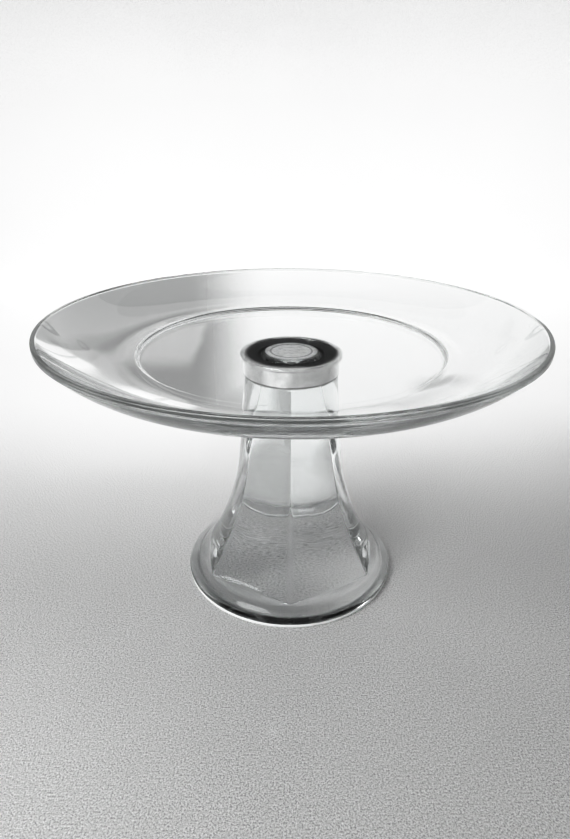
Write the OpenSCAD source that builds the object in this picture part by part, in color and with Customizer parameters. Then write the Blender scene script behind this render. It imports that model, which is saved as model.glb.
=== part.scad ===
// Glass cake turntable: a dished plate that turns on a hollow glass pedestal
// through a sealed ball bearing in the neck. Millimetres, +Z up, foot on z = 0.

/* [Plate] */
// Outer diameter of the plate
plate_d = 300; // [280:1:330]
// Height of the well's top face above the table
well_top_z = 160; // [158:0.5:162]
// Radius of the flat well
well_r = 92.5; // [85:0.5:96]
// Height of the step round the well
well_step = 1.2; // [0.6:0.1:2]
// Radius of the rounded rim
rim_r = 2; // [1.6:0.1:2.4]
// Rise of the rim's centre above the well's top face
rim_rise = 18.7; // [15:0.1:22]

/* [Pedestal] */
// Radius of the foot
foot_r = 71.6; // [68:0.2:75]
// Radius where the flare begins
waist_r = 34; // [32:0.5:36]
// Height where the flare begins
waist_z = 88; // [80:1:96]
// Radius of the pedestal at its top
neck_r = 29.5; // [29:0.1:30]
// Distance from axis to panel at the top of the hollow
panel_neck = 14.3; // [13.8:0.1:15]
// Distance from axis to panel where the hollow begins to flare
panel_waist = 26; // [25:0.1:26.4]
// Distance from axis to panel at the bottom ledge
panel_foot = 50; // [48:0.5:50.5]
// Height of the clear ring under the foot
ring_h = 2.4; // [2:0.1:3]

/* [Swivel] */
// Outer radius of the collar's band
collar_r = 30.3; // [30:0.1:31]
// Outer radius of the collar's lip
lip_r = 32.4; // [31.5:0.1:34]
// Radius of the hub's round top
hub_top_r = 17; // [16:0.1:17.4]
// Number of balls in the bearing
balls = 15; // [11:1:16]
// Diameter of one ball
ball_d = 4.76; // [4.5:0.01:4.8]

/* [Hidden] */
$fn = 96;

plate_r = plate_d / 2;
well_bot_z = well_top_z - 5;
rim_c = [plate_r - rim_r, well_top_z + rim_rise];

// heights in the neck, counted down from the plate's underside
collar_top = well_bot_z - 0.5;
brg_top = well_bot_z - 3;
brg_bot = brg_top - 9;
brg_mid = (brg_top + brg_bot) / 2;
collar_bot = brg_bot - 1.8;
neck_z = collar_bot - 0.2;

// bearing, 30 x 47 x 9
brg_bore = 15;
brg_out = 23.5;
pitch_r = 19.25;
groove_r = ball_d / 2 + 0.08;
in_land = 17.6;
out_land = 20.9;
screw_pcr = 26.6;

// arc in the (r, z) plane from p to q that leaves p at slope s
function arc_up(p, q, s, n) =
    let (c = atan2(q[1] - p[1], q[0] - p[0]), f = c - s, k = norm(q - p) / (2 * sin(f)))
    [for (i = [0 : n]) let (t = s + 2 * f * i / n)
        [p[0] + k * (sin(t) - sin(s)), p[1] + k * (cos(s) - cos(t))]];

// arc that runs down from p to q and leaves p at angle s from the vertical
function arc_down(p, q, s, n) =
    let (c = atan2(q[0] - p[0], p[1] - q[1]), f = c - s, k = norm(q - p) / (2 * sin(f)))
    [for (i = [0 : n]) let (t = s + 2 * f * i / n)
        [p[0] + k * (cos(s) - cos(t)), p[1] - k * (sin(t) - sin(s))]];

function rev(v) = [for (i = [len(v) - 1 : -1 : 0]) v[i]];
function tail(v) = [for (i = [1 : len(v) - 1]) v[i]];

module ring(r0, r1, z0, z1) {
    translate([0, 0, z0]) difference() {
        cylinder(r = r1, h = z1 - z0);
        translate([0, 0, -1]) cylinder(r = r0, h = z1 - z0 + 2);
    }
}

module plate() {
    s_mid = [well_r + 1.75, well_top_z + well_step / 2];
    s_end = [well_r + 3.5, well_top_z + well_step];
    s_ang = 2 * atan2(well_step / 2, 1.75);
    top_end = [rim_c[0] + rim_r * cos(135), rim_c[1] + rim_r * sin(135)];
    bot_end = [rim_c[0] + rim_r * cos(-40), rim_c[1] + rim_r * sin(-40)];
    top = concat([[0, well_top_z]],
        arc_up([well_r, well_top_z], s_mid, 0, 4),
        tail(arc_up(s_mid, s_end, s_ang, 4)),
        arc_up([well_r + 8.5, well_top_z + well_step], top_end, 0, 14));
    rim = [for (a = [120 : -15 : -30]) [rim_c[0] + rim_r * cos(a), rim_c[1] + rim_r * sin(a)]];
    bot = arc_up([well_r + 11.5, well_bot_z], bot_end, 2, 16);
    color([0.86, 0.89, 0.90, 0.45])
    rotate_extrude() polygon(concat(top, rim, rev(bot), [[0, well_bot_z]]));
}

module hub_bond() {
    color([0.92, 0.93, 0.92, 0.6])
    translate([0, 0, well_bot_z - 0.2]) cylinder(r = hub_top_r - 0.4, h = 0.2);
}

// clear hub: round top, six-sided conical skirt, bearing seat, clip groove
module hub() {
    top = well_bot_z - 0.2;
    color([0.90, 0.92, 0.93, 0.5])
    difference() {
        union() {
            translate([0, 0, brg_bot]) cylinder(r = brg_bore - 0.02, h = brg_top - brg_bot + 0.5);
            translate([0, 0, brg_top]) cylinder(r = 17.4, h = 0.5);
            intersection() {
                translate([0, 0, brg_top + 0.4]) cylinder(r1 = 20.4, r2 = hub_top_r, h = top - brg_top - 0.4);
                translate([0, 0, brg_top + 0.4]) rotate([0, 0, 30]) cylinder(r = 20.2, h = 5, $fn = 6);
            }
            translate([0, 0, brg_bot - 1.55]) cylinder(r = 14.3, h = 1.6);
            translate([0, 0, brg_bot - 3.4]) cylinder(r = brg_bore - 0.02, h = 1.85);
        }
        translate([0, 0, brg_bot - 4]) cylinder(r = 10.5, h = brg_top - brg_bot + 3.5);
    }
}

module bearing_inner_ring() {
    color([0.70, 0.71, 0.73])
    difference() {
        ring(brg_bore, in_land, brg_bot, brg_top);
        translate([0, 0, brg_mid]) rotate_extrude() translate([pitch_r, 0]) circle(r = groove_r);
    }
}

module bearing_outer_ring() {
    color([0.70, 0.71, 0.73])
    difference() {
        ring(out_land, brg_out - 0.02, brg_bot, brg_top);
        translate([0, 0, brg_mid]) rotate_extrude() translate([pitch_r, 0]) circle(r = groove_r);
    }
}

module bearing_balls() {
    color([0.80, 0.81, 0.83])
    for (i = [0 : balls - 1]) rotate([0, 0, i * 360 / balls])
        translate([pitch_r, 0, brg_mid]) sphere(d = ball_d);
}

module bearing_cage() {
    color([0.82, 0.76, 0.60])
    difference() {
        ring(18.4, 20.1, brg_bot + 1.6, brg_mid + 1.4);
        for (i = [0 : balls - 1]) rotate([0, 0, i * 360 / balls])
            translate([pitch_r, 0, brg_mid]) sphere(r = ball_d / 2 + 0.12);
    }
}

module bearing_seal_upper() {
    color([0.08, 0.08, 0.08])
    ring(in_land + 0.35, out_land, brg_top - 0.9, brg_top - 0.3);
}

module bearing_seal_lower() {
    color([0.08, 0.08, 0.08])
    ring(in_land + 0.35, out_land, brg_bot + 0.3, brg_bot + 0.9);
}

// open retaining ring with two plier holes
module hub_circlip() {
    color([0.25, 0.25, 0.27])
    difference() {
        union() {
            ring(14.32, 16.8, brg_bot - 1.5, brg_bot - 0.05);
            for (a = [-16, 16]) rotate([0, 0, 90 + a])
                translate([15.9, 0, brg_bot - 1.5]) cylinder(r = 1.5, h = 1.45);
        }
        translate([0, 0, brg_bot - 3]) cylinder(r = 14.32, h = 5);
        for (a = [-16, 16]) rotate([0, 0, 90 + a])
            translate([16.0, 0, brg_bot - 3]) cylinder(r = 0.7, h = 5);
        translate([-2.6, 10, brg_bot - 3]) cube([5.2, 10, 5]);
    }
}

// dark ring over the bearing, held by four countersunk screws
module bearing_cover() {
    color([0.07, 0.07, 0.08])
    difference() {
        ring(out_land, 29.0, brg_top, brg_top + 1.4);
        for (a = [45 : 90 : 315]) rotate([0, 0, a]) translate([screw_pcr, 0, brg_top]) {
            translate([0, 0, -1]) cylinder(r = 1.35, h = 4);
            translate([0, 0, 0.4]) cylinder(r1 = 1.35, r2 = 2.35, h = 1.0);
            translate([0, 0, 1.4]) cylinder(r = 2.35, h = 1);
        }
    }
}

module cover_screws() {
    color([0.12, 0.12, 0.13])
    for (a = [45 : 90 : 315]) rotate([0, 0, a]) translate([screw_pcr, 0, brg_top])
        difference() {
            union() {
                translate([0, 0, -5]) cylinder(r = 1.25, h = 5.5);
                translate([0, 0, 0.4]) cylinder(r1 = 1.25, r2 = 2.2, h = 0.95);
            }
            translate([0, 0, 0.7]) cylinder(r = 0.85, h = 2, $fn = 6);
        }
}

module collar() {
    color([0.78, 0.79, 0.80])
    difference() {
        rotate_extrude() polygon([
            [21.4, collar_bot], [collar_r - 0.4, collar_bot], [collar_r, collar_bot + 0.4],
            [collar_r, collar_top - 2.9], [lip_r - 0.5, collar_top - 2.3],
            [lip_r, collar_top - 1.8], [lip_r, collar_top - 0.5], [lip_r - 0.5, collar_top],
            [29.6, collar_top], [29.2, collar_top - 0.4],
            [29.2, brg_top], [brg_out, brg_top], [brg_out, brg_bot], [21.4, brg_bot]]);
        for (a = [45 : 90 : 315]) rotate([0, 0, a])
            translate([screw_pcr, 0, brg_top - 6]) cylinder(r = 1.3, h = 7);
    }
}

module collar_bond() {
    color([0.92, 0.93, 0.92, 0.6])
    ring(21.4, 28.9, neck_z, collar_bot);
}

// one slab of the six-sided hollow, its two faces flared
module slab(a) {
    up = arc_down([panel_waist, waist_z - 8], [panel_foot, 8], 11.6, 12);
    side = concat([[panel_neck, neck_z - 4]], up, [[panel_foot + 0.5, 7]]);
    rotate([0, 0, a]) rotate([90, 0, 0]) linear_extrude(height = 150, center = true)
        polygon(concat(side, rev([for (p = side) [-p[0], p[1]]])));
}

module pedestal() {
    flare = arc_down([waist_r, waist_z], [60.5, 14], 5, 16);
    skirt = arc_down([60.5, 14], [foot_r - 1.4, 5.4], 34.4, 6);
    outer = concat([[0, neck_z], [neck_r - 0.5, neck_z], [neck_r, neck_z - 0.5]], flare, tail(skirt),
        [[foot_r - 0.4, 4.7], [foot_r, 3.9], [foot_r, 3.2], [foot_r - 0.5, ring_h], [0, ring_h]]);
    color([0.86, 0.89, 0.90, 0.45])
    difference() {
        rotate_extrude() polygon(outer);
        intersection() { slab(0); slab(60); slab(120); }
        // round recess below with a flat ledge, round bore above
        rotate_extrude() polygon([[0, ring_h - 1], [64.4, ring_h - 1], [63.5, ring_h], [58.8, 8], [0, 8]]);
        translate([0, 0, neck_z - 5]) cylinder(r = 15.6, h = 6);
        // groove for the tongue of the ring under the foot
        ring(66.45, 69.55, ring_h - 1, ring_h + 1.7);
    }
}

module foot_ring() {
    color([0.94, 0.95, 0.95, 0.7])
    rotate_extrude() polygon([
        [64.9, 0], [foot_r - 0.9, 0], [foot_r - 0.2, 0.7], [foot_r - 0.2, ring_h - 0.4],
        [foot_r - 0.6, ring_h], [69.5, ring_h], [69.5, ring_h + 1.6], [66.5, ring_h + 1.6],
        [66.5, ring_h], [64.4, ring_h], [64.4, 0.5]]);
}

plate();
hub_bond();
hub();
bearing_inner_ring();
hub_circlip();
bearing_balls();
bearing_cage();
bearing_outer_ring();
bearing_seal_upper();
bearing_seal_lower();
bearing_cover();
cover_screws();
collar();
collar_bond();
pedestal();
foot_ring();
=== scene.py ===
import math

import bpy
from mathutils import Matrix, Vector


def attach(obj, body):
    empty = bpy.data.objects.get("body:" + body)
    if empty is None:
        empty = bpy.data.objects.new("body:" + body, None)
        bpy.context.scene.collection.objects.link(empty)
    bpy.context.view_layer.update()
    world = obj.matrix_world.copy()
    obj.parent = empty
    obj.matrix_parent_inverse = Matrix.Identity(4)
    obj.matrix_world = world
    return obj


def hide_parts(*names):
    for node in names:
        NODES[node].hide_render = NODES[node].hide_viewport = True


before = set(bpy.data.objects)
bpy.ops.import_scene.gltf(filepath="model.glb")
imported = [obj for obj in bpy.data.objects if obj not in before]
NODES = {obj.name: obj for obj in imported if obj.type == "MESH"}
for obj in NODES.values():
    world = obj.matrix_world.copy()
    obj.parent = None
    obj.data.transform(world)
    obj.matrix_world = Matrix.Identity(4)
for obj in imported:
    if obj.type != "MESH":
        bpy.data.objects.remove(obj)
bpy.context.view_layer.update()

MM = 0.001
scene = bpy.context.scene


# ------------------------------------------------------------------ shapes

def arc_up(p, q, s, n):
    """Arc in (r, z) from p to q that leaves p at slope s degrees."""
    s = math.radians(s)
    c = math.atan2(q[1] - p[1], q[0] - p[0])
    f = c - s
    k = math.hypot(q[0] - p[0], q[1] - p[1]) / (2 * math.sin(f))
    out = []
    for i in range(n + 1):
        t = s + 2 * f * i / n
        out.append((p[0] + k * (math.sin(t) - math.sin(s)), p[1] + k * (math.cos(s) - math.cos(t))))
    return out


def arc_down(p, q, s, n):
    """Arc that runs down from p to q and leaves p at s degrees from the vertical."""
    s = math.radians(s)
    c = math.atan2(q[0] - p[0], p[1] - q[1])
    f = c - s
    k = math.hypot(q[0] - p[0], q[1] - p[1]) / (2 * math.sin(f))
    out = []
    for i in range(n + 1):
        t = s + 2 * f * i / n
        out.append((p[0] + k * (math.cos(s) - math.cos(t)), p[1] - k * (math.sin(t) - math.sin(s))))
    return out


def line(p, q, n):
    return [(p[0] + (q[0] - p[0]) * i / n, p[1] + (q[1] - p[1]) * i / n) for i in range(n + 1)]


def join(*runs):
    out = []
    for run in runs:
        for p in run:
            if not out or math.hypot(p[0] - out[-1][0], p[1] - out[-1][1]) > 1e-4:
                out.append(p)
    return out


def fillet(points, radii, segs=5, closed=True):
    """Rounds the corners of an (r, z) outline. A radius of 0 keeps the corner."""
    n = len(points)
    out = []
    for i, p in enumerate(points):
        rad = radii[i] if isinstance(radii, (list, tuple)) else radii
        if rad <= 0 or (not closed and i in (0, n - 1)):
            out.append(p)
            continue
        a, b = points[i - 1], points[(i + 1) % n]
        u = (a[0] - p[0], a[1] - p[1])
        v = (b[0] - p[0], b[1] - p[1])
        lu, lv = math.hypot(*u), math.hypot(*v)
        u, v = (u[0] / lu, u[1] / lu), (v[0] / lv, v[1] / lv)
        ang = math.acos(max(-1, min(1, u[0] * v[0] + u[1] * v[1])))
        d = min(rad / math.tan(ang / 2), 0.45 * lu, 0.45 * lv)
        rr = d * math.tan(ang / 2)
        bis = (u[0] + v[0], u[1] + v[1])
        lb = math.hypot(*bis)
        h = math.hypot(rr, d)
        cen = (p[0] + bis[0] / lb * h, p[1] + bis[1] / lb * h)
        t0 = math.atan2(p[1] + u[1] * d - cen[1], p[0] + u[0] * d - cen[0])
        t1 = math.atan2(p[1] + v[1] * d - cen[1], p[0] + v[0] * d - cen[0])
        dt = (t1 - t0 + math.pi) % (2 * math.pi) - math.pi
        for k in range(segs + 1):
            t = t0 + dt * k / segs
            out.append((cen[0] + rr * math.cos(t), cen[1] + rr * math.sin(t)))
    return out


def loft(name, rings, close_rings=True, sharp=None):
    """Mesh through rings of points (mm). A ring of one point is a pole."""
    verts, index = [], []
    for ring in rings:
        index.append(list(range(len(verts), len(verts) + len(ring))))
        verts.extend((x * MM, y * MM, z * MM) for x, y, z in ring)
    faces = []
    pairs = list(zip(index, index[1:]))
    if close_rings:
        pairs.append((index[-1], index[0]))
    for a, b in pairs:
        if len(a) == 1 and len(b) == 1:
            continue
        n = max(len(a), len(b))
        for i in range(n):
            j = (i + 1) % n
            if len(a) == 1:
                faces.append((a[0], b[j], b[i]))
            elif len(b) == 1:
                faces.append((a[i], a[j], b[0]))
            else:
                faces.append((a[i], a[j], b[j], b[i]))
    mesh = bpy.data.meshes.new(name)
    mesh.from_pydata(verts, [], faces)
    mesh.validate()
    mesh.polygons.foreach_set("use_smooth", [True] * len(mesh.polygons))
    obj = bpy.data.objects.new(name, mesh)
    scene.collection.objects.link(obj)
    outward(mesh)
    if sharp:
        mesh.set_sharp_from_angle(angle=math.radians(sharp))
    return obj


def outward(mesh):
    """Turns all faces over if the closed mesh is inside out."""
    vol = 0.0
    for poly in mesh.polygons:
        v = [mesh.vertices[i].co for i in poly.vertices]
        for k in range(1, len(v) - 1):
            vol += v[0].dot(v[k].cross(v[k + 1]))
    if vol < 0:
        mesh.flip_normals()


def circle(r, z, n, turn=0.0):
    if r < 1e-6:
        return [(0.0, 0.0, z)]
    return [(r * math.cos(turn + 2 * math.pi * i / n), r * math.sin(turn + 2 * math.pi * i / n), z) for i in range(n)]


def lathe(name, profile, n=240, closed=True, sharp=None):
    return loft(name, [circle(r, z, n) for r, z in profile], close_rings=closed, sharp=sharp)


# --------------------------------------------------------------- materials

def material(name):
    m = bpy.data.materials.new(name)
    m.use_nodes = True
    nt = m.node_tree
    bsdf = next(n for n in nt.nodes if n.type == "BSDF_PRINCIPLED")
    return m, nt, bsdf


def coords(nt, scale=(1, 1, 1)):
    tc = nt.nodes.new("ShaderNodeTexCoord")
    mp = nt.nodes.new("ShaderNodeMapping")
    mp.inputs["Scale"].default_value = scale
    nt.links.new(tc.outputs["Object"], mp.inputs["Vector"])
    return mp.outputs["Vector"]


def polar(nt, kr, kz):
    """Coordinates (radius, height), so that a texture runs in rings round the axis."""
    tc = nt.nodes.new("ShaderNodeTexCoord")
    sep = nt.nodes.new("ShaderNodeSeparateXYZ")
    nt.links.new(tc.outputs["Object"], sep.inputs[0])
    flat = nt.nodes.new("ShaderNodeCombineXYZ")
    nt.links.new(sep.outputs["X"], flat.inputs["X"])
    nt.links.new(sep.outputs["Y"], flat.inputs["Y"])
    ln = nt.nodes.new("ShaderNodeVectorMath")
    ln.operation = "LENGTH"
    nt.links.new(flat.outputs[0], ln.inputs[0])
    mr = nt.nodes.new("ShaderNodeMath")
    mr.operation = "MULTIPLY"
    mr.inputs[1].default_value = kr
    nt.links.new(ln.outputs["Value"], mr.inputs[0])
    mz = nt.nodes.new("ShaderNodeMath")
    mz.operation = "MULTIPLY"
    mz.inputs[1].default_value = kz
    nt.links.new(sep.outputs["Z"], mz.inputs[0])
    out = nt.nodes.new("ShaderNodeCombineXYZ")
    nt.links.new(mr.outputs[0], out.inputs["X"])
    nt.links.new(mz.outputs[0], out.inputs["Y"])
    return out.outputs[0]


def noise(nt, vec, scale, detail=3.0, rough=0.5, dist=0.0):
    n = nt.nodes.new("ShaderNodeTexNoise")
    n.inputs["Scale"].default_value = scale
    n.inputs["Detail"].default_value = detail
    n.inputs["Roughness"].default_value = rough
    n.inputs["Distortion"].default_value = dist
    nt.links.new(vec, n.inputs["Vector"])
    return n.outputs["Fac"]


def spread(nt, fac, lo, hi, a=0.3, b=0.7):
    m = nt.nodes.new("ShaderNodeMapRange")
    m.inputs["From Min"].default_value = a
    m.inputs["From Max"].default_value = b
    m.inputs["To Min"].default_value = lo
    m.inputs["To Max"].default_value = hi
    nt.links.new(fac, m.inputs["Value"])
    return m.outputs["Result"]


def math_node(nt, op, a, c):
    n = nt.nodes.new("ShaderNodeMath")
    n.operation = op
    for sock, val in zip(n.inputs, (a, c)):
        if isinstance(val, (int, float)):
            sock.default_value = val
        else:
            nt.links.new(val, sock)
    return n.outputs[0]


def ramp(nt, fac, stops):
    r = nt.nodes.new("ShaderNodeValToRGB")
    el = r.color_ramp.elements
    while len(el) < len(stops):
        el.new(0.5)
    for e, (pos, col) in zip(el, stops):
        e.position = pos
        e.color = (*col, 1.0)
    nt.links.new(fac, r.inputs["Fac"])
    return r.outputs["Color"]


def bump(nt, bsdf, height, strength, distance):
    b = nt.nodes.new("ShaderNodeBump")
    b.inputs["Strength"].default_value = strength
    b.inputs["Distance"].default_value = distance
    nt.links.new(height, b.inputs["Height"])
    nt.links.new(b.outputs["Normal"], bsdf.inputs["Normal"])


def glass(name, tint_a, tint_b, rough, ripple, ripple_scale, density, ior=1.52):
    """Pressed glass: faint ripple, faint tint drift, wiping haze in its gloss."""
    m, nt, b = material(name)
    b.inputs["Transmission Weight"].default_value = 1.0
    b.inputs["IOR"].default_value = ior
    v = coords(nt)
    wide = noise(nt, v, 9.0, 2.0)
    nt.links.new(ramp(nt, wide, [(0.3, tint_a), (0.7, tint_b)]), b.inputs["Base Color"])
    haze = noise(nt, v, 34.0, 5.0, 0.62)
    nt.links.new(spread(nt, haze, rough[0], rough[1], 0.45, 0.8), b.inputs["Roughness"])
    bump(nt, b, noise(nt, v, ripple_scale, 1.5, 0.4), ripple, 0.001)
    # soda-lime glass takes 3 to 4 % off each centimetre, which draws its edges dark
    inside = nt.nodes.new("ShaderNodeVolumeAbsorption")
    inside.inputs["Color"].default_value = (0.80, 0.806, 0.804, 1.0)
    inside.inputs["Density"].default_value = density
    out = next(n for n in nt.nodes if n.type == "OUTPUT_MATERIAL")
    nt.links.new(inside.outputs[0], out.inputs["Volume"])
    return m


def turned(name, dark, light, rough, metallic, depth, rings=2600.0):
    """Metal turned on a lathe: fine rings round the axis and faint handling marks."""
    m, nt, b = material(name)
    b.inputs["Metallic"].default_value = metallic
    rv = polar(nt, rings, rings)
    lines = noise(nt, rv, 1.0, 2.0, 0.6)
    v = coords(nt)
    marks = noise(nt, v, 120.0, 5.0, 0.65)
    nt.links.new(ramp(nt, marks, [(0.32, dark), (0.68, light)]), b.inputs["Base Color"])
    mix = nt.nodes.new("ShaderNodeMath")
    mix.operation = "MULTIPLY_ADD"
    mix.inputs[1].default_value = 0.6
    nt.links.new(lines, mix.inputs[0])
    half = nt.nodes.new("ShaderNodeMath")
    half.operation = "MULTIPLY"
    half.inputs[1].default_value = 0.4
    nt.links.new(marks, half.inputs[0])
    nt.links.new(half.outputs[0], mix.inputs[2])
    nt.links.new(spread(nt, mix.outputs[0], rough[0], rough[1], 0.35, 0.65), b.inputs["Roughness"])
    bump(nt, b, lines, depth, 0.0001)
    return m


def grained(name, dark, light, rough, scale, depth, metallic=0.0, transmission=0.0, ior=1.45):
    """Moulded or blasted surface: fine grain and soft colour drift."""
    m, nt, b = material(name)
    b.inputs["Metallic"].default_value = metallic
    b.inputs["Transmission Weight"].default_value = transmission
    b.inputs["IOR"].default_value = ior
    v = coords(nt)
    drift = noise(nt, v, scale * 0.06, 3.0, 0.55)
    nt.links.new(ramp(nt, drift, [(0.3, dark), (0.7, light)]), b.inputs["Base Color"])
    fine = noise(nt, v, scale, 4.0, 0.6)
    nt.links.new(spread(nt, fine, rough[0], rough[1]), b.inputs["Roughness"])
    bump(nt, b, fine, depth, 0.0002)
    return m


def cured_with_painted_highlight(name):
    """Cured adhesive, a pale film; the streaks in its colour are painted reflection, and the bright ring with a dark
    line near its edge is painted highlight and painted shade.
    """
    m, nt, b = material(name)
    b.inputs["Transmission Weight"].default_value = 0.05
    b.inputs["IOR"].default_value = 1.50
    sep = nt.nodes.new("ShaderNodeSeparateXYZ")
    nt.links.new(polar(nt, 50.0, 0.0), sep.inputs[0])
    # painted shade and painted highlight: a dark line, then a bright ring, near the edge
    bead_and_highlight_rings = ramp(nt, sep.outputs["X"], [(0.0, (0.97, 0.97, 0.97)), (0.60, (0.97, 0.97, 0.97)), (0.645, (0.34, 0.34, 0.35)),
                                       (0.69, (0.98, 0.98, 0.98)), (0.78, (0.95, 0.95, 0.95)), (0.83, (0.55, 0.55, 0.56))])
    # painted reflection: sideways streaks that darken the colour in bands
    streak_and_sheen = noise(nt, coords(nt, (1.0, 3.4, 1.0)), 150.0, 4.0, 0.62, 1.4)
    nt.links.new(math_node(nt, "MULTIPLY", bead_and_highlight_rings, spread(nt, streak_and_sheen, 0.62, 1.0, 0.34, 0.52)), b.inputs["Base Color"])
    nt.links.new(spread(nt, streak_and_sheen, 0.04, 0.16), b.inputs["Roughness"])
    bump(nt, b, streak_and_sheen, 0.05, 0.0002)
    return m


def painted_seam_shade(mat, z, height):
    """Painted shade: an uneven dark line along the lower edge of a metal piece, where it sits on the part below."""
    nt = mat.node_tree
    b = next(n for n in nt.nodes if n.type == "BSDF_PRINCIPLED")
    colour = b.inputs["Base Color"].links[0].from_socket
    sep = nt.nodes.new("ShaderNodeSeparateXYZ")
    nt.links.new(coords(nt), sep.inputs[0])
    uneven = math_node(nt, "MULTIPLY", noise(nt, coords(nt), 70.0, 2.0), height)
    edge = math_node(nt, "SUBTRACT", sep.outputs["Z"], uneven)
    nt.links.new(math_node(nt, "MULTIPLY", colour, spread(nt, edge, 0.04, 1.0, z, z + 0.4 * height)), b.inputs["Base Color"])
    return mat


M_PLATE = glass("plate_glass", (0.955, 0.965, 0.965), (0.985, 0.99, 0.99), (0.0, 0.035), 0.05, 26.0, 15.0)
M_PEDESTAL = glass("pressed_glass", (0.955, 0.965, 0.965), (0.985, 0.99, 0.99), (0.0, 0.03), 0.10, 55.0, 20.0)
M_HUB = glass("hub_glass", (0.96, 0.97, 0.97), (0.985, 0.99, 0.99), (0.0, 0.03), 0.05, 90.0, 15.0, 1.50)
# the bond's colour carries painted highlight, painted shade and painted reflection streaks
M_BOND = cured_with_painted_highlight("cured_adhesive_painted_highlight")
M_SILICONE = grained("clear_silicone", (0.92, 0.93, 0.93), (0.97, 0.975, 0.975), (0.14, 0.28), 1600.0, 0.10, transmission=0.25, ior=1.41)
# painted shade: the collar's colour is darkened along its lower edge, where it sits on the pedestal
M_STEEL = painted_seam_shade(turned("polished_steel", (0.60, 0.61, 0.62), (0.90, 0.91, 0.92), (0.05, 0.17), 1.0, 0.10), 0.1412, 0.0014)
M_COVER = turned("black_anodised", (0.010, 0.010, 0.011), (0.024, 0.024, 0.026), (0.34, 0.50), 0.0, 0.16, 1500.0)
next(n for n in M_COVER.node_tree.nodes if n.type == "BSDF_PRINCIPLED").inputs["Specular IOR Level"].default_value = 0.18
M_BLACK = grained("black_oxide", (0.018, 0.018, 0.020), (0.045, 0.045, 0.048), (0.30, 0.45), 2200.0, 0.16, metallic=0.7)
M_BEARING = turned("ground_steel", (0.50, 0.51, 0.53), (0.64, 0.65, 0.67), (0.16, 0.30), 1.0, 0.18, 3400.0)
M_BALL = grained("lapped_steel", (0.74, 0.75, 0.77), (0.84, 0.85, 0.87), (0.03, 0.09), 900.0, 0.02, metallic=1.0)
M_CAGE = grained("moulded_nylon", (0.70, 0.63, 0.48), (0.80, 0.74, 0.60), (0.36, 0.52), 1500.0, 0.14)
M_SEAL = grained("black_rubber", (0.012, 0.012, 0.012), (0.030, 0.030, 0.030), (0.48, 0.66), 1900.0, 0.20)


def dress(obj, mat):
    obj.data.materials.clear()
    obj.data.materials.append(mat)


def piece(obj, body, mat, slot, *nodes):
    dress(obj, mat)
    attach(obj, body)
    if nodes:
        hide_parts(*nodes)
    return obj


# ------------------------------------------------------------------- plate

RIM_C, RIM_R = (148.0, 178.7), 2.0


def rim_point(deg):
    t = math.radians(deg)
    return (RIM_C[0] + RIM_R * math.cos(t), RIM_C[1] + RIM_R * math.sin(t))


step_ang = 2 * math.degrees(math.atan2(1.2, 1.9))
plate_top = join(
    [(0, 160), (8, 160), (18, 160), (30, 160), (45, 160), (60, 160), (74, 160), (84, 160), (90, 160)],
    arc_up((92.0, 160), (93.9, 161.2), 0, 12),
    arc_up((93.9, 161.2), (95.8, 162.4), step_ang, 12),
    [(96.8, 162.4), (98.4, 162.4)],
    arc_up((100, 162.4), rim_point(135), 1, 48))
plate_rim = fillet([rim_point(135), (147.3, 180.7), (150.0, 180.7), (150.0, 177.55), rim_point(-40)], [0, 0.8, 1.1, 0.5, 0], 8, closed=False)
plate_bot = join(
    [(0, 155), (8, 155), (18, 155), (30, 155), (45, 155), (60, 155), (76, 155), (90, 155), (100, 155)],
    arc_up((104, 155), rim_point(-40), 2, 48))
plate = lathe("plate", join(plate_top, plate_rim, plate_bot[::-1]), 320, closed=False)
piece(plate, "turning_plate", M_PLATE, "clear_glass", "plate")

# ---------------------------------------------------------------- pedestal

NPED = 480
flare = arc_down((34, 88), (60.5, 14), 5, 40)
skirt = arc_down((60.5, 14), (70.2, 5.4), 34.4, 14)
outer = join(
    fillet([(24.0, 141.0), (29.0, 141.0), (29.5, 140.5), (29.93, 135.5)], [0, 0.4, 0.4, 0], 5, closed=False),
    line((29.93, 135.5), (34, 88), 14)[1:],
    flare, skirt,
    fillet([(70.2, 5.4), (71.2, 4.7), (71.6, 3.9), (71.6, 3.2), (71.1, 2.4), (69.0, 2.4)], [0, 0.5, 0.5, 0.5, 0.5, 0], 4, closed=False),
    [(66.0, 2.4), (64.2, 2.4)])

panel_low = arc_down((26, 80), (50, 8), 11.6, 60)


def apothem(z):
    """Distance from the axis to a panel of the hollow."""
    if z >= 80:
        return 26 + (14.3 - 26) * (z - 80) / (137 - 80)
    for a, b in zip(panel_low, panel_low[1:]):
        if b[1] <= z <= a[1]:
            t = (a[1] - z) / (a[1] - b[1])
            return a[0] + (b[0] - a[0]) * t
    return panel_low[-1][0]


PANELS = [math.radians(60 * k) for k in range(6)]


def six(theta, p):
    """Radius of a six-sided outline of unit apothem with softened ridges."""
    return 1.0 / sum(max(0.0, math.cos(theta - t)) ** p for t in PANELS) ** (1.0 / p)


HEX = [six(2 * math.pi * i / NPED, 70) for i in range(NPED)]


def ripple(theta, z):
    """Slight waviness that pressing leaves in the panels, in mm."""
    w = (math.sin(7 * theta + 0.115 * z + 1.3) + 0.8 * math.sin(11 * theta - 0.075 * z + 0.4)
         + 0.6 * math.sin(5 * theta + 0.21 * z + 2.1))
    return 0.035 * w


def hollow_ring(z, out=0.0):
    a = apothem(z)
    fade = min(1.0, (z - 8) / 12, (136 - z) / 8) if 8 < z < 136 else 0.0
    ring = []
    for i in range(NPED):
        t = 2 * math.pi * i / NPED
        r = a * HEX[i] + out + fade * ripple(t, z)
        ring.append((r * math.cos(t), r * math.sin(t), z))
    return ring


def ledge(r):
    """Height of the drafted ledge under the panels."""
    return 6.4 + 0.27 * (58.8 - r)


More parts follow.
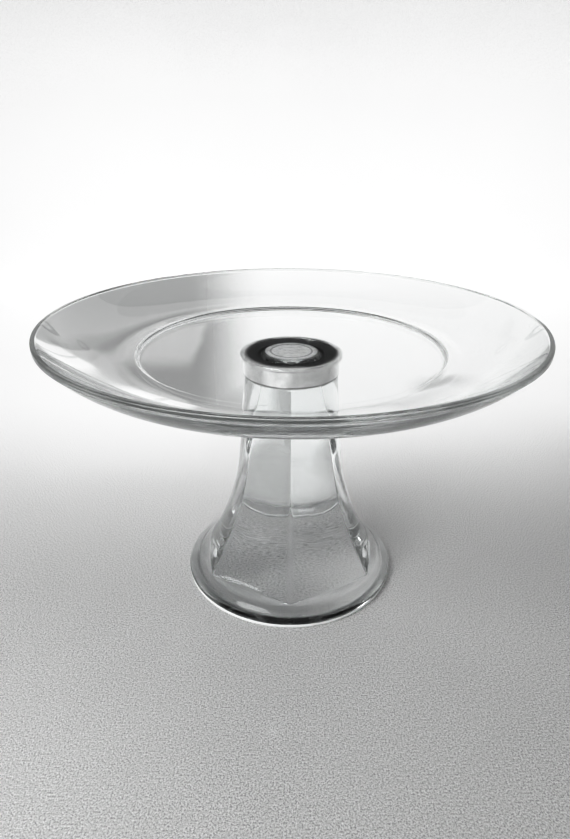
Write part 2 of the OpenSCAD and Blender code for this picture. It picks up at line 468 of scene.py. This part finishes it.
def ledge_ring(t):
    """Ring on the ledge, from the recess (t = 0) to the foot of the panels (t = 1)."""
    ring = []
    for i in range(NPED):
        a = 2 * math.pi * i / NPED
        edge = apothem(8.8) * HEX[i]
        r = 58.75 + (edge - 58.75) * t
        ring.append((r * math.cos(a), r * math.sin(a), ledge(r)))
    return ring


def lift_ring(t):
    """Ring that leaves the ledge and turns up into the panels."""
    ring = []
    for i in range(NPED):
        a = 2 * math.pi * i / NPED
        edge = apothem(8.8) * HEX[i]
        z = ledge(edge) + (14.0 - ledge(edge)) * t
        r = apothem(z) * HEX[i] + 0.9 * (1 - t) ** 3
        ring.append((r * math.cos(a), r * math.sin(a), z))
    return ring


levels = [15.0]
levels += [15.0 + (134.6 - 15.0) * i / 64 for i in range(1, 65)]
levels += [135.2, 135.7, 136.0]
rings = [circle(r, z, NPED) for r, z in outer]
rings += [circle(r, z, NPED) for r, z in (
    (63.75, 2.45), (63.5, 2.6), (63.1, 3.0), (62.0, 4.0), (60.6, 5.3), (59.6, 6.05), (59.2, 6.25))]
rings += [ledge_ring(t) for t in (0.0, 0.2, 0.45, 0.7, 0.86)]
rings += [lift_ring(t) for t in (0.02, 0.08, 0.18, 0.34, 0.56, 0.8)]
rings += [hollow_ring(z) for z in levels]
rings += [circle(r, z, NPED) for r, z in (
    (15.45, 136.25), (15.6, 136.6), (15.6, 137.5), (15.6, 139.0), (15.6, 140.4), (15.7, 140.8), (16.0, 141.0), (17.5, 141.0), (20.5, 141.0))]
pedestal = loft("pedestal", rings)
piece(pedestal, "base", M_PEDESTAL, "pedestal_glass", "pedestal")

# --------------------------------------------------------------- foot ring

foot = fillet([(64.9, 0.0), (70.7, 0.0), (71.4, 0.7), (71.4, 2.0), (71.0, 2.38), (64.4, 2.38), (64.4, 0.5)],
              [0.3, 0.5, 0.5, 0.4, 0.3, 0.2, 0.3], 5)
foot_ring = lathe("foot_ring", foot, 320)
piece(foot_ring, "base", M_SILICONE, "clear_silicone", "foot_ring")

# ----------------------------------------------------- collar, cover and hub

collar = lathe("collar", fillet(
    [(21.4, 141.2), (29.9, 141.2), (30.3, 141.6), (30.3, 151.6), (31.9, 152.2), (32.4, 152.7), (32.4, 154.0),
     (31.9, 154.5), (29.6, 154.5), (29.2, 154.1), (29.2, 152.0), (23.5, 152.0), (23.5, 143.0), (21.4, 143.0)],
    [0.1, 0.3, 0.3, 0.5, 0.5, 0.4, 0.4, 0.35, 0.25, 0.25, 0.05, 0.1, 0.05, 0.1], 5), 240)
piece(collar, "base", M_STEEL, "polished_steel", "collar")

# hub: round top, six-sided skirt, seat and clip groove, hollow from below
NH = 192
HEX_H = [math.cos(math.radians(30)) * six(2 * math.pi * i / NH, 120) for i in range(NH)]


def skirt_ring(z):
    cone = 20.4 + (17.0 - 20.4) * (z - 152.4) / 2.4
    out = []
    for i in range(NH):
        t = 2 * math.pi * i / NH
        r = min(cone, 20.2 * HEX_H[i])
        out.append((r * math.cos(t), r * math.sin(t), z))
    return out


hub_rings = [circle(0, 154.8, NH)] + [circle(r, 154.8, NH) for r in (4, 9, 13, 16.4)]
hub_rings += [circle(16.85, 154.72, NH), skirt_ring(154.5), skirt_ring(154.1), skirt_ring(153.6), skirt_ring(153.1), skirt_ring(152.7), skirt_ring(152.5)]
hub_rings += [circle(r, z, NH) for r, z in (
    (19.0, 152.4), (17.5, 152.4), (17.4, 152.35), (17.4, 152.1), (17.3, 152.02), (15.1, 152.02), (14.98, 151.9), (14.98, 148.0), (14.98, 143.2), (14.9, 143.02),
    (14.4, 143.0), (14.3, 142.9), (14.3, 141.6), (14.4, 141.47), (14.9, 141.45), (14.98, 141.35), (14.98, 140.1), (14.6, 139.6),
    (13.0, 139.6), (10.9, 139.6), (10.5, 140.0), (10.5, 144.0), (10.5, 148.0), (10.5, 150.6), (10.3, 151.2), (9.7, 151.5), (6.0, 151.5), (2.0, 151.5), (0, 151.5))]
hub = loft("hub", hub_rings, close_rings=False, sharp=50)
piece(hub, "turning_plate", M_HUB, "clear_hub", "hub")

hub_bond = lathe("hub_bond", [(0, 155.03), (8, 155.03), (15.8, 155.03), (16.4, 155.02), (16.6, 154.9), (16.4, 154.78), (15.8, 154.77), (8, 154.77), (0, 154.77)], 160, closed=False)
piece(hub_bond, "turning_plate", M_BOND, "clear_bond", "hub_bond")

# ------------------------------------------------ CAD nodes kept as they are

for name, mat in {
    "bearing_cover": M_COVER, "cover_screws": M_BLACK, "hub_circlip": M_BLACK,
    "bearing_inner_ring": M_BEARING, "bearing_outer_ring": M_BEARING, "bearing_balls": M_BALL,
    "bearing_cage": M_CAGE, "bearing_seal_upper": M_SEAL, "bearing_seal_lower": M_SEAL,
    "collar_bond": M_BOND,
}.items():
    dress(NODES[name], mat)

# ------------------------------------------------------------------- stage


def stage_material():
    m, nt, b = material("studio_sweep")
    tc = nt.nodes.new("ShaderNodeTexCoord")
    sep = nt.nodes.new("ShaderNodeSeparateXYZ")
    nt.links.new(tc.outputs["Object"], sep.inputs[0])
    v = coords(nt)
    fine = noise(nt, v, 1100.0, 3.0, 0.7)
    soft = noise(nt, v, 5.0, 3.0, 0.5)
    nt.links.new(ramp(nt, math_node(nt, "ADD", math_node(nt, "MULTIPLY", fine, 0.95), math_node(nt, "MULTIPLY", soft, 0.05)),
                      [(0.36, (0.30, 0.30, 0.30)), (0.64, (0.66, 0.66, 0.66))]), b.inputs["Base Color"])
    nt.links.new(spread(nt, fine, 0.20, 0.40), b.inputs["Roughness"])
    b.inputs["Coat Weight"].default_value = 0.5
    b.inputs["Coat Roughness"].default_value = 0.05
    bump(nt, b, fine, 0.6, 0.0008)
    # painted light: the sweep glows as if lit from behind, grey near the object, white further back,
    # a soft fall-off to the sides and the top, and pale all round
    near = soft_step(nt, sep.outputs["Y"], -0.05, 0.32, 0.0, 0.56)
    far = soft_step(nt, sep.outputs["Y"], 0.30, 1.00, 0.0, 0.16)
    left = soft_step(nt, bearing(nt, sep), -0.90, -0.20, 0.50, 1.0)
    right = soft_step(nt, bearing(nt, sep), 0.22, 1.10, 1.0, 0.40)
    high = soft_step(nt, sep.outputs["Z"], 0.08, 0.70, 1.0, 0.52)
    glow = math_node(nt, "ADD", near, far)
    for k in (left, right, high):
        glow = math_node(nt, "MULTIPLY", glow, k)
    around = soft_step(nt, distance(nt, sep, 0.0, 0.0), 0.36, 1.30, 0.0, 0.20)
    front = soft_step(nt, distance(nt, sep, 0.0, -1.30), 0.30, 1.00, 0.22, 0.0)
    around = math_node(nt, "ADD", around, front)
    glow = math_node(nt, "MAXIMUM", glow, around)
    b.inputs["Emission Color"].default_value = (1, 1, 1, 1)
    nt.links.new(glow, b.inputs["Emission Strength"])
    return m


def soft_step(nt, value, a, c, lo, hi):
    n = nt.nodes.new("ShaderNodeMapRange")
    n.interpolation_type = "SMOOTHSTEP"
    for key, val in (("From Min", a), ("From Max", c), ("To Min", lo), ("To Max", hi)):
        n.inputs[key].default_value = val
    nt.links.new(value, n.inputs["Value"])
    return n.outputs[0]


def bearing(nt, sep):
    """Sideways position over depth, measured from a point in front of the stand."""
    depth = math_node(nt, "MAXIMUM", math_node(nt, "ADD", sep.outputs["Y"], 0.37), 0.3)
    return math_node(nt, "DIVIDE", sep.outputs["X"], depth)


def distance(nt, sep, x, y, ky=1.0, key="Y"):
    """Distance from a point in plan, or in elevation with key Z, stretched by ky."""
    dx = math_node(nt, "SUBTRACT", sep.outputs["X"], x)
    dy = math_node(nt, "MULTIPLY", math_node(nt, "SUBTRACT", sep.outputs[key], y), ky)
    return math_node(nt, "SQRT", math_node(nt, "ADD", math_node(nt, "MULTIPLY", dx, dx), math_node(nt, "MULTIPLY", dy, dy)), 0.0)


sweep_profile = [(0.0, 0.0)] + [(r, 0.0) for r in (60, 120, 200, 320, 480, 680, 900, 1050)]
sweep_profile += [(1050 + 450 * math.sin(t), 450 * (1 - math.cos(t))) for t in [math.radians(6 * i) for i in range(1, 16)]]
sweep_profile += [(1500, 700), (1500, 1000), (1500, 1500)]
sweep = lathe("sweep", sweep_profile, 192, closed=False)
sweep.data.flip_normals()
dress(sweep, stage_material())


def painted_card(name, points, faces, shade, mask, glossy, through):
    """A soft-edged glowing card, hidden from the camera, from diffuse light and from shadows: painted light and painted
    shade that show only in what the object mirrors and shows through it.
    """
    mesh = bpy.data.meshes.new(name)
    mesh.from_pydata(points, [], faces)
    obj = bpy.data.objects.new(name, mesh)
    scene.collection.objects.link(obj)
    m, nt, b = material(name)
    tc = nt.nodes.new("ShaderNodeTexCoord")
    sep = nt.nodes.new("ShaderNodeSeparateXYZ")
    nt.links.new(tc.outputs["Object"], sep.inputs[0])
    grain = spread(nt, noise(nt, coords(nt), 140.0, 3.0, 0.6), 0.985 * shade, 1.015 * shade)
    b.inputs["Base Color"].default_value = (0.02, 0.02, 0.02, 1)
    b.inputs["Roughness"].default_value = 0.9
    b.inputs["Emission Color"].default_value = (1, 1, 1, 1)
    nt.links.new(grain, b.inputs["Emission Strength"])
    clear = nt.nodes.new("ShaderNodeBsdfTransparent")
    mix = nt.nodes.new("ShaderNodeMixShader")
    out = next(n for n in nt.nodes if n.type == "OUTPUT_MATERIAL")
    nt.links.new(mask(nt, sep), mix.inputs[0])
    nt.links.new(clear.outputs[0], mix.inputs[1])
    nt.links.new(b.outputs[0], mix.inputs[2])
    nt.links.new(mix.outputs[0], out.inputs["Surface"])
    dress(obj, m)
    obj.visible_camera = False
    obj.visible_diffuse = False
    obj.visible_shadow = False
    obj.visible_glossy = glossy
    obj.visible_transmission = through
    return obj


def painted_shade_low_mask(nt, sep):
    """Painted shade seen through the glass: far behind the left half of the plate, and just behind the left of the
    pedestal.
    """
    disc = soft_step(nt, distance(nt, sep, 0.0065, 0.652), 0.42, 0.60, 1.0, 0.0)
    half = soft_step(nt, bearing(nt, sep), -0.16, -0.02, 1.0, 0.0)
    spot = soft_step(nt, distance(nt, sep, -0.065, 0.190, 0.55), 0.045, 0.110, 0.85, 0.0)
    return math_node(nt, "MAXIMUM", math_node(nt, "MULTIPLY", disc, half), spot)


def painted_shade_high_mask(nt, sep):
    """Painted dark reflection: over the neck, clear in the middle for the hub, and out to the left."""
    e = math_node(nt, "DIVIDE", distance(nt, sep, 0.0133, 0.566, 0.135 / 0.0475, "Z"), 0.135)
    ring = math_node(nt, "MULTIPLY", soft_step(nt, e, 0.84, 0.95, 1.0, 0.0), soft_step(nt, e, 0.42, 0.56, 0.0, 1.0))
    left = soft_step(nt, sep.outputs["X"], -0.26, -0.07, 0.86, 0.0)
    foot = soft_step(nt, sep.outputs["X"], -0.27, -0.17, 0.57, 0.41)
    left = math_node(nt, "MULTIPLY", left, soft_step(nt, math_node(nt, "SUBTRACT", sep.outputs["Z"], foot), 0.0, 0.06, 0.0, 1.0))
    left = math_node(nt, "MULTIPLY", left, soft_step(nt, sep.outputs["Z"], 0.68, 0.81, 1.0, 0.0))
    left = math_node(nt, "MULTIPLY", left, soft_step(nt, sep.outputs["X"], -0.80, -0.50, 0.0, 1.0))
    return math_node(nt, "MAXIMUM", ring, left)


def painted_light_back_mask(nt, sep):
    """Painted light seen through the glass: just behind the right of the pedestal, and fainter under it."""
    behind = soft_step(nt, distance(nt, sep, 0.062, 0.125, 0.8), 0.030, 0.080, 0.85, 0.0)
    under = soft_step(nt, distance(nt, sep, 0.060, -0.035), 0.020, 0.065, 0.36, 0.0)
    return math_node(nt, "MAXIMUM", behind, under)


def painted_reflection_front_mask(nt, sep):
    """Painted reflection: in front and to the left, below the camera."""
    return soft_step(nt, distance(nt, sep, -0.20, -0.28), 0.10, 0.24, 0.9, 0.0)


# painted light: glowing white cards on the floor; one brightens the right panel seen through the glass, one paints a
# reflection on the middle of the metal band
painted_card("painted_light_back", [(-0.70, -0.70, 0.0015), (0.70, -0.70, 0.0015), (0.70, 1.03, 0.0015), (-0.70, 1.03, 0.0015)], [(0, 1, 2, 3)],
     0.78, painted_light_back_mask, False, True)
# painted reflection on the middle of the metal band
painted_card("painted_reflection_front", [(-0.46, -0.54, 0.0015), (0.06, -0.54, 0.0015), (0.06, -0.02, 0.0015), (-0.46, -0.02, 0.0015)], [(0, 1, 2, 3)],
     0.95, painted_reflection_front_mask, True, False)

# painted shade: a grey glowing sheet, seen only through the glass
painted_card("painted_shade_low", [(-0.70, -0.70, 0.002), (0.70, -0.70, 0.002), (0.70, 1.03, 0.002), (-0.70, 1.03, 0.002)], [(0, 1, 2, 3)],
     0.43, painted_shade_low_mask, False, True)

# painted shade: a dark sheet above the frame, mirrored by the flat of the plate
painted_card("painted_shade_high", [(-0.85, 1.2, 0.38), (0.20, 1.2, 0.38), (0.20, 1.2, 0.82), (-0.85, 1.2, 0.82)], [(0, 1, 2, 3)],
     0.03, painted_shade_high_mask, True, True)


def painted_reflection_window_mask(nt, sep):
    """Painted reflection of a window: upright soft patch with one thin bar."""
    across = math_node(nt, "MULTIPLY", soft_step(nt, sep.outputs["X"], -0.312, -0.285, 0.0, 1.0), soft_step(nt, sep.outputs["X"], -0.205, -0.175, 1.0, 0.0))
    up = math_node(nt, "MULTIPLY", soft_step(nt, sep.outputs["Z"], 0.22, 0.30, 0.0, 1.0), soft_step(nt, sep.outputs["Z"], 0.43, 0.48, 1.0, 0.0))
    bar = soft_step(nt, math_node(nt, "ABSOLUTE", math_node(nt, "ADD", sep.outputs["X"], 0.250), 0.0), 0.003, 0.009, 0.45, 1.0)
    return math_node(nt, "MULTIPLY", math_node(nt, "MULTIPLY", across, up), bar)


def painted_shade_right_mask(nt, sep):
    """Painted shade: small spot behind the right of the plate, seen through the glass."""
    return soft_step(nt, distance(nt, sep, 0.185, 0.307, 0.75), 0.006, 0.052, 0.66, 0.0)


# painted reflection of a small window, mirrored by the left flange, and a small spot of painted shade seen through the
# right of the plate
painted_card("painted_reflection_window", [(-0.34, 1.17, 0.20), (-0.15, 1.17, 0.20), (-0.15, 1.17, 0.50), (-0.34, 1.17, 0.50)], [(0, 1, 2, 3)],
     2.2, painted_reflection_window_mask, True, False)
# painted shade seen through the right of the plate
painted_card("painted_shade_right", [(-0.70, -0.70, 0.0025), (0.70, -0.70, 0.0025), (0.70, 1.03, 0.0025), (-0.70, 1.03, 0.0025)], [(0, 1, 2, 3)],
     0.30, painted_shade_right_mask, False, True)

world = bpy.data.worlds.new("studio")
scene.world = world
world.use_nodes = True
bg = next(n for n in world.node_tree.nodes if n.type == "BACKGROUND")
bg.inputs["Color"].default_value = (0.13, 0.13, 0.13, 1)
bg.inputs["Strength"].default_value = 1.0


def area(name, loc, target, size, power, through):
    light = bpy.data.lights.new(name, "AREA")
    light.shape = "ELLIPSE"
    light.size, light.size_y = size
    light.energy = power
    o = bpy.data.objects.new(name, light)
    scene.collection.objects.link(o)
    aim = Vector(target) - Vector(loc)
    o.rotation_euler = aim.to_track_quat("-Z", "Y").to_euler()
    o.location = loc
    o.visible_camera = False
    o.visible_glossy = False
    o.visible_transmission = through
    return o


area("softbox_top", (0.0, -0.25, 1.9), (0, 0, 0.1), (1.8, 1.4), 3.5, True)
area("key_left", (-0.75, -0.75, 0.75), (-0.25, -0.22, 0.0), (0.8, 0.7), 15.5, True)

# ------------------------------------------------------------------ camera

cam = bpy.data.cameras.new("camera")
cam.lens = 620.0 * 36.0 / 839.0
cam.sensor_width = 36.0
cam.sensor_fit = "AUTO"
cam.clip_start = 0.01
cam.clip_end = 20.0
cam_obj = bpy.data.objects.new("camera", cam)
scene.collection.objects.link(cam_obj)
cam_obj.matrix_world = (Matrix.Translation((-0.00373, -0.3696, 0.2820))
                        @ Matrix.Rotation(math.radians(90 - 24.78), 4, "X")
                        @ Matrix.Rotation(math.radians(0.27), 4, "Z"))
scene.camera = cam_obj

scene.cycles.max_bounces = 160
scene.cycles.transmission_bounces = 160
scene.cycles.glossy_bounces = 160
scene.cycles.diffuse_bounces = 4
scene.cycles.transparent_max_bounces = 16
scene.cycles.caustics_reflective = True
scene.cycles.caustics_refractive = True
scene.cycles.blur_glossy = 0.3
scene.cycles.sample_clamp_indirect = 6.0
scene.cycles.use_denoising = True
scene.view_settings.view_transform = "Standard"
scene.view_settings.look = "None"
scene.view_settings.exposure = 0.0
# contrasty print: deeper shadows, cleaner whites
scene.view_settings.use_curve_mapping = True
curve = scene.view_settings.curve_mapping.curves[3]
for point in ((0.10, 0.055), (0.30, 0.24), (0.55, 0.56), (0.78, 0.86)):
    curve.points.new(*point)
scene.view_settings.curve_mapping.update()

bpy.context.view_layer.update()
